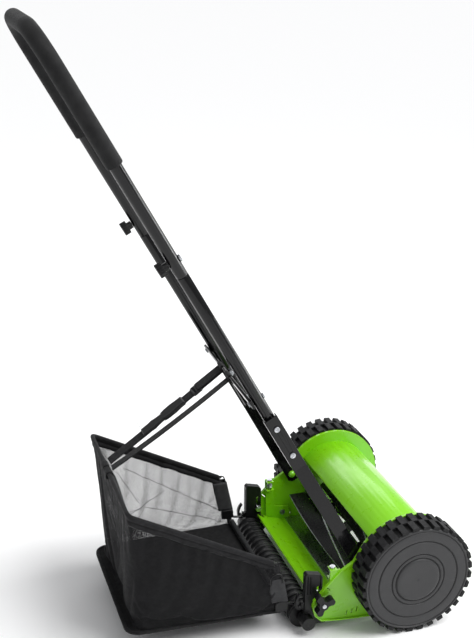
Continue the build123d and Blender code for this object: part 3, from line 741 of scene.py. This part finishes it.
def make_rim_hem():
    """The hem that wraps the rim wire; across the rear it leans forward as the strap pulls it."""
    top = bag_line(FRONT_TOP, REAR_TOP, RIM_BEND)
    foot = bag_line(FRONT_FOOT, REAR_FOOT, FLOOR_BEND)
    keep = range(1, len(top) - 1)
    line = [top[c] for c in keep]

    def section(i):
        c = keep[i]
        lean = REAR_LEAN * max(0.0, 1 - abs(top[c].x) / 0.165) ** 0.6
        rear = max(0.0, min(1.0, (top[c].y - at(0, REAR_TOP[1], 0).y) / 0.004 + 1))
        down = ((foot[c] - top[c]).normalized() + Vector((0, -1, 0.25)) * lean * rear).normalized()
        along = (top[min(c + 1, len(top) - 1)] - top[c - 1]).normalized()
        outward = down.cross(along).normalized()
        if outward.dot(inwards(top[c])) > 0:
            outward = -outward
        depth = HEM_TALL * (1 + 0.16 * ripple(c, 0.16, 2) + 0.08 * ripple(c, 0.5, 5))
        sway = 0.0016 * ripple(c, 0.11, 4)
        return folded_over(top[c], down, outward, HEM_RADIUS, depth, HEM_PROFILE, sway)

    hem = sleeve("catcher_rim_hem", line, section)
    return finish_piece(hem, "catcher", "mesh_fabric", "hem_fabric")


def frame_along(points, i, reference):
    """(side, normal) at a step of a line, with normal as near reference as can be."""
    first = points[max(i - 1, 0)]
    second = points[min(i + 1, len(points) - 1)]
    along = (second - first).normalized()
    side = along.cross(reference).normalized()
    return side, side.cross(along).normalized()


def rounded_loop(centre, side, normal, half_wide, half_thick, power=3.2, steps=20):
    """A superellipse loop, for straps, bindings and soft bars."""
    loop = []
    for k in range(steps):
        turn = 2 * pi * k / steps
        c, s = cos(turn), sin(turn)
        x = half_wide * (1 if c >= 0 else -1) * abs(c) ** (2 / power)
        y = half_thick * (1 if s >= 0 else -1) * abs(s) ** (2 / power)
        loop.append(centre + side * x + normal * y)
    return loop


def make_floor_binding():
    """The bound edge of the stiff floor panel, round its sides and rear."""
    foot = bag_line(FRONT_FOOT, REAR_FOOT, FLOOR_BEND)
    lift = Vector((0, 0, -0.0018))
    line = [point + lift for point in foot]

    def section(i):
        side, normal = frame_along(line, i, UP)
        swell = 1 + 0.08 * ripple(i, 0.3, 9)
        return rounded_loop(line[i], side, normal, 0.0034 * swell, 0.0032 * swell)

    binding = sleeve("catcher_floor_binding", line, section)
    return finish_piece(binding, "catcher", "webbing")


def smooth_line(points, steps):
    """A smooth line through points, as a Catmull-Rom curve."""
    padded = [points[0] * 2 - points[1]] + points + [points[-1] * 2 - points[-2]]
    line = []
    for k in range(1, len(padded) - 2):
        a, b, c, d = padded[k - 1:k + 3]
        for i in range(steps):
            t = i / steps
            line.append(0.5 * (
                2 * b + (c - a) * t + (2 * a - 5 * b + 4 * c - d) * t ** 2 + (3 * b - a - 3 * c + d) * t ** 3
            ))
    line.append(points[-1])
    return line


def round_rod(name, points, radius, body, slot):
    """A round wire along a smooth line through points."""
    line = smooth_line(points, 6)

    def section(i):
        side, normal = frame_along(line, i, Vector((1, 0.02, 0.03)))
        return rounded_loop(line[i], side, normal, radius, radius, 2, 12)

    return finish_piece(sleeve(name, line, section), body, slot)


# the ends of the left front wire's straight upper part: (across, behind the axle, up)
FRONT_KNEE = (168.5, 238.0, 62.0)
FRONT_WIRE_TOP = (172.5, 256.0, 156.0)
# the heights, in millimetres, between which each webbing loop grips its front wire
LOOP_SPAN = {"left": (82.0, 149.0), "right": (69.0, 123.0)}
LOOP_DEEP = 0.0285
LOOP_RADIUS = WIRE + 0.0019
LOOP_PROFILE = ((0.3, 0.0036), (0.6, 0.0026), (0.94, 0.0021), (1.0, 0.0012))
LOOP_STEPS = 14
# each wire bail's route: (behind, above) its foot on the front wire, in metres
BAIL_ROUTE = (
    (0.001, 0.0), (0.001, 0.012), (0.004, 0.019), (0.0135, 0.021),
    (0.023, 0.018), (0.026, 0.011), (0.026, 0.0),
)
BAIL_RADIUS = 0.0014
# each clip's outline: (up, behind) its middle, in metres
CLIP_OUTLINE = (
    (-0.011, 0.0), (-0.009, 0.0125), (0.004, 0.0135), (0.0105, 0.012),
    (0.0115, 0.0), (0.0105, -0.012), (0.004, -0.0135), (-0.009, -0.0125),
)


def on_front_wire(sign, height):
    """The place on a front wire at a height in millimetres."""
    share = (height - FRONT_KNEE[2]) / (FRONT_WIRE_TOP[2] - FRONT_KNEE[2])
    x, y = (low + (high - low) * share for low, high in zip(FRONT_KNEE[:2], FRONT_WIRE_TOP[:2]))
    return at(sign * x, y, height)


def make_front_loops():
    """The webbing loops that hold the bag to its front wires, with their wire bails and clips."""
    for sign, tag in SIDES:
        low, high = LOOP_SPAN[tag]
        steps = range(LOOP_STEPS + 1)
        line = [on_front_wire(sign, low + (high - low) * i / LOOP_STEPS) for i in steps]
        outward = Vector((sign, 0, 0))

        def section(i, line=line, outward=outward, sign=sign):
            sway = 0.0008 * ripple(i, 0.3, 12 + sign)
            return folded_over(line[i], BACK, outward, LOOP_RADIUS, LOOP_DEEP, LOOP_PROFILE, sway)

        made = sleeve("catcher_front_loop_" + tag, line, section)
        finish_piece(made, "catcher", "webbing", "loop_webbing")
        foot = on_front_wire(sign, high - 8) + outward * 0.0052
        bail = [foot + Vector((0, behind, up)) for behind, up in BAIL_ROUTE]
        round_rod("catcher_front_bail_" + tag, bail, BAIL_RADIUS, "catcher", "black_paint")
        hold = on_front_wire(sign, low - 11) + BACK * 0.011
        axes = (UP, BACK, outward)
        clip = moulding("catcher_front_clip_" + tag, hold, axes, CLIP_OUTLINE, 0.0098, 0.0006)
        finish_piece(clip, "catcher", "black_plastic")


def make_front_edges():
    """The bound front edges of the bag's side walls."""
    pieces = []
    for sign, tag in SIDES:
        top = at(sign * FRONT_TOP[0], FRONT_TOP[1] + 1, FRONT_TOP[2] - 5)
        foot = at(sign * FRONT_FOOT[0], FRONT_FOOT[1] + 4, FRONT_FOOT[2] + 1)
        line = [top.lerp(foot, i / 30) for i in range(31)]

        def section(i, line=line, sign=sign):
            side, normal = frame_along(line, i, ACROSS)
            swell = 1 + 0.09 * ripple(i, 0.4, 23 + sign)
            return rounded_loop(line[i], side, normal, 0.0055 * swell, 0.0013 * swell, 3)

        made = sleeve("catcher_front_edge_" + tag, line, section)
        pieces.append(finish_piece(made, "catcher", "mesh_fabric", "hem_fabric"))
    return pieces


def make_front_bar():
    """The stiffened fabric bar along the floor's open front edge."""
    left = at(FRONT_FOOT[0] - 2, FRONT_FOOT[1] + 1, FRONT_FOOT[2] + 6)
    right = Vector((-left.x, left.y, left.z))
    line = [left.lerp(right, i / 40) for i in range(41)]

    def section(i):
        side, normal = frame_along(line, i, UP)
        swell = 1 + 0.07 * ripple(i, 0.4, 17)
        return rounded_loop(line[i], side, normal, 0.0055 * swell, 0.0068 * swell, 2.4)

    return finish_piece(sleeve("catcher_front_bar", line, section), "catcher", "webbing", "hem_fabric")


# ---- the lift strap: two strands from the rear rim to the handle's brace ----
brace_low, brace_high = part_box("crossbrace")
BRACE = (brace_low + brace_high) / 2
BRACE_TILT = radians(61.2)
STRAP_HALF = 0.012
STRAP_THICK = 0.0009
STRAP_FACE = Vector((0, -0.6, 0.8))


def strap_route(x_rim, x_brace):
    """(rim point, brace point) of one strand's centre line."""
    rim = at(x_rim, REAR_TOP[1] - 3.0, REAR_TOP[2] + 5.0)
    brace = Vector((x_brace / 1000, BRACE.y, BRACE.z))
    return rim, brace


def part_way(route, share, sag=0.0):
    """A point part of the way from the rim to the brace, sagging a little."""
    rim, brace = route
    point = rim.lerp(brace, share)
    point.z -= sag * 4 * share * (1 - share)
    return point


LOWER = strap_route(1, -12)
UPPER = strap_route(29, 37)
# shares of the upper route: both ends of the buckle, the slider's middle, the strands' ends
BUCKLE = (0.31, 0.66)
SLIDER = 0.77
RIM_END = 0.02
BRACE_END = 0.982


def strand(name, route, first, last, sag=0.0, lift=0.0):
    """A flat band of the strap, from one share of its route to another."""
    points = []
    for i in range(7):
        point = part_way(route, first + (last - first) * i / 6, sag)
        point.z += lift
        points.append(point)
    line = smooth_line(points, 8)

    def section(i):
        side, normal = frame_along(line, i, STRAP_FACE)
        return rounded_loop(line[i], side, normal, STRAP_HALF, STRAP_THICK, 6)

    return finish_piece(sleeve(name, line, section), "strap", "webbing")


WRAP_STEPS = 32


def wrap(name, centre, half_long, half_short, tilt, body):
    """A turn of strap round a bar that lies across the machine, hugging its section."""
    long_way = Vector((0, cos(tilt), sin(tilt)))
    short_way = Vector((0, -sin(tilt), cos(tilt)))
    line = rounded_loop(centre, long_way, short_way, half_long, half_short, 2.4, WRAP_STEPS)
    loops = []
    for i in range(WRAP_STEPS):
        along = (line[(i + 1) % WRAP_STEPS] - line[i - 1]).normalized()
        normal = ACROSS.cross(along)
        loops.append(rounded_loop(line[i], ACROSS, normal, STRAP_HALF, STRAP_THICK, 6))
    run = lengths(line + [line[0]])
    girth = lengths(loops[0] + [loops[0][0]])
    faces, uvs = skin(loops, run, girth, closed=True)
    made = new_object(name, [point for loop in loops for point in loop], faces, uvs)
    return finish_piece(made, body, "webbing")


def plate_frame(route, share):
    """A place on a strand and its axes: along towards the brace, side, and its face normal."""
    rim, brace = route
    along = (brace - rim).normalized()
    side = (ACROSS - along * ACROSS.dot(along)).normalized()
    normal = side.cross(along).normalized()
    if normal.z < 0:
        normal = -normal
    return part_way(route, share), along, side, normal


# a moulded plate's layers: (share of its length, share of its width, level in its thickness)
MOULD_LAYERS = ((0.96, 0.86, -0.5), (1.0, 1.0, -0.3), (1.0, 1.0, 0.3), (0.96, 0.86, 0.5))
DOME_INSET = 0.0025
MOULD_EDGE = 0.0006


def moulding(name, origin, axes, outline, thick, dome):
    """A moulded plate: an outline in (along, side) swelling to a domed middle, in metres."""
    along, side, normal = axes
    mesh = bmesh.new()
    loops = []
    for long, wide, level in MOULD_LAYERS:
        centre = origin + normal * level * thick
        loops.append([
            mesh.verts.new(centre + along * a * long + side * s * wide) for a, s in outline
        ])
    count = len(outline)
    for lower, upper in zip(loops, loops[1:]):
        for k in range(count):
            n = (k + 1) % count
            mesh.faces.new((lower[k], lower[n], upper[n], upper[k]))
    top = mesh.faces.new(loops[-1])
    mesh.faces.new(loops[0][::-1])
    bmesh.ops.inset_region(mesh, faces=[top], thickness=DOME_INSET, depth=dome)
    bmesh.ops.recalc_face_normals(mesh, faces=mesh.faces[:])
    data = bpy.data.meshes.new(name)
    mesh.to_mesh(data)
    mesh.free()
    made = add_to_scene(name, data)
    edge = made.modifiers.new("edge", "BEVEL")
    edge.width = MOULD_EDGE
    edge.segments = 2
    edge.limit_method = "ANGLE"
    for polygon in data.polygons:
        polygon.use_smooth = True
    data.set_sharp_from_angle(angle=radians(40))
    return made


def mirrored(points):
    """The points of an outline in (along, side) on its other side, in the order that goes on."""
    return [(a, -s) for a, s in reversed(points)]


def make_buckle():
    """The closed side-release buckle: its socket, its plug, and the plug's two prongs."""
    span = (UPPER[1] - UPPER[0]).length
    origin, *axes = plate_frame(UPPER, (BUCKLE[0] + BUCKLE[1]) / 2)
    half = span * (BUCKLE[1] - BUCKLE[0]) / 2
    socket = [
        (-half * 0.02, 0.0125), (half * 0.2, 0.0155), (half * 0.52, 0.016),
        (half * 0.8, 0.0135), (half, 0.0135),
    ]
    plug = [
        (-half, 0.0135), (-half * 0.66, 0.0135), (-half * 0.5, 0.0155),
        (-half * 0.3, 0.0125), (half * 0.05, 0.0105),
    ]
    prong = [
        (-half * 0.42, 0.0105), (-half * 0.05, 0.0105), (half * 0.18, 0.0168), (half * 0.46, 0.0172),
        (half * 0.5, 0.0135), (half * 0.2, 0.0125), (0.0, 0.0085), (-half * 0.42, 0.0082),
    ]
    parts = [
        moulding("strap_buckle_socket", origin, axes, socket + mirrored(socket), 0.009, 0.0012),
        moulding("strap_buckle_plug", origin, axes, plug + mirrored(plug), 0.0066, 0.0009),
        moulding("strap_buckle_prong_left", origin, axes, prong, 0.005, 0.0003),
        moulding("strap_buckle_prong_right", origin, axes, mirrored(prong), 0.005, 0.0003),
    ]
    for part in parts:
        finish_piece(part, "strap", "black_plastic")
    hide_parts("strap_buckle")


SLIDER_HALF_WIDE = 0.0152
SLIDER_HALF_LONG = 0.0098
# (name, place along the strap, half width), in metres
SLIDER_BARS = (("front", 0.008, 0.0017), ("middle", 0.0, 0.0015), ("rear", -0.008, 0.0017))


def make_slider():
    """A tri-glide: two end bars and a middle bar between its sides."""
    origin, along, side, normal = plate_frame(UPPER, SLIDER)
    for tag, offset, half in SLIDER_BARS:
        centre = origin + along * offset
        line = [centre + side * SLIDER_HALF_WIDE * t for t in (-1, -0.9, -0.4, 0, 0.4, 0.9, 1)]

        def section(i, line=line, half=half):
            swell = 0.75 if i in (0, len(line) - 1) else 1.0
            return rounded_loop(line[i], along, normal, half * swell, 0.0021 * swell, 2.4, 12)

        bar = sleeve("strap_slider_bar_" + tag, line, section)
        finish_piece(bar, "strap", "black_plastic")
    for sign, tag in SIDES:
        centre = origin + side * sign * (SLIDER_HALF_WIDE - 0.0008)
        line = [centre + along * SLIDER_HALF_LONG * t for t in (-1, -0.85, -0.3, 0.3, 0.85, 1)]

        def section(i, line=line):
            swell = 0.7 if i in (0, len(line) - 1) else 1.0
            return rounded_loop(line[i], side, normal, 0.0018 * swell, 0.0022 * swell, 2.6, 12)

        bar = sleeve("strap_slider_side_" + tag, line, section)
        finish_piece(bar, "strap", "black_plastic")
    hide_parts("strap_slider")


def make_strap():
    """The strap's strands, and its loops round the brace and round the catcher's rear rim."""
    lower = strand("strap_lower_strand", LOWER, RIM_END, BRACE_END, sag=0.004)
    strand("strap_upper_strand", UPPER, RIM_END, BUCKLE[0] + 0.03, sag=0.002)
    strand("strap_middle_strand", UPPER, BUCKLE[1] - 0.03, BRACE_END, sag=0.001)
    strand("strap_return_strand", UPPER, SLIDER, BRACE_END, sag=-0.001, lift=0.0042)
    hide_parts("strap_webbing")
    rim = at(0, REAR_TOP[1], REAR_TOP[2])
    for tag, route in (("lower", LOWER), ("upper", UPPER)):
        wrap("strap_brace_loop_" + tag, route[1], 0.0109, 0.0042, BRACE_TILT, "strap")
        under = Vector((route[0].x, rim.y, rim.z - 0.0015))
        wrap("strap_rim_loop_" + tag, under, 0.0068, 0.0068, 0.0, "catcher")


# ---- finishes of the CAD nodes ----
SLOT_OF = {piece["node"]: piece["material_slot"] for piece in frame["record"]["subparts"]}
WELD_GAP = 0.000002
FINE_EDGE = 0.0004
# the nodes whose edges are rounder than that
EDGE_WIDTH = {
    "foam_grip": 0.0022, "tyre_left": 0.0008, "tyre_right": 0.0008,
    "roller_bracket_left": 0.0008, "roller_bracket_right": 0.0008,
    "height_knob_left": 0.0014, "height_knob_right": 0.0014,
    "handle_knob_left": 0.0012, "handle_knob_right": 0.0012,
    "roller_segments": 0.0008, "catcher_floor": 0.0006,
}


def dress_nodes():
    """Every CAD node gets its finish and softly broken edges."""
    for name, node in frame["nodes"].items():
        node.data.materials.clear()
        node.data.materials.append(materials[SLOT_OF[name]])
        weld = node.modifiers.new("weld", "WELD")
        weld.merge_threshold = WELD_GAP
        edge = node.modifiers.new("edge", "BEVEL")
        edge.width = EDGE_WIDTH.get(name, FINE_EDGE)
        edge.segments = 2
        edge.limit_method = "ANGLE"
        edge.angle_limit = radians(32)
        edge.use_clamp_overlap = True
        edge.harden_normals = True


def make_floor():
    corners = [(x * FLOOR_HALF, y * FLOOR_HALF, 0) for x, y in ((-1, -1), (1, -1), (1, 1), (-1, 1))]
    ground = new_object("studio_floor", corners, [[0, 1, 2, 3]], smooth=False)
    ground.data.materials.append(Finish("studio_floor", FLOOR_COLOUR, 0.85).material)


make_camera()
make_studio()
make_floor()
materials = make_materials()
bag, bag_area = make_bag()
hem = make_rim_hem()
front_edges = make_front_edges()
make_front_loops()
binding = make_floor_binding()
make_front_bar()
make_buckle()
make_slider()
make_strap()
dress_nodes()
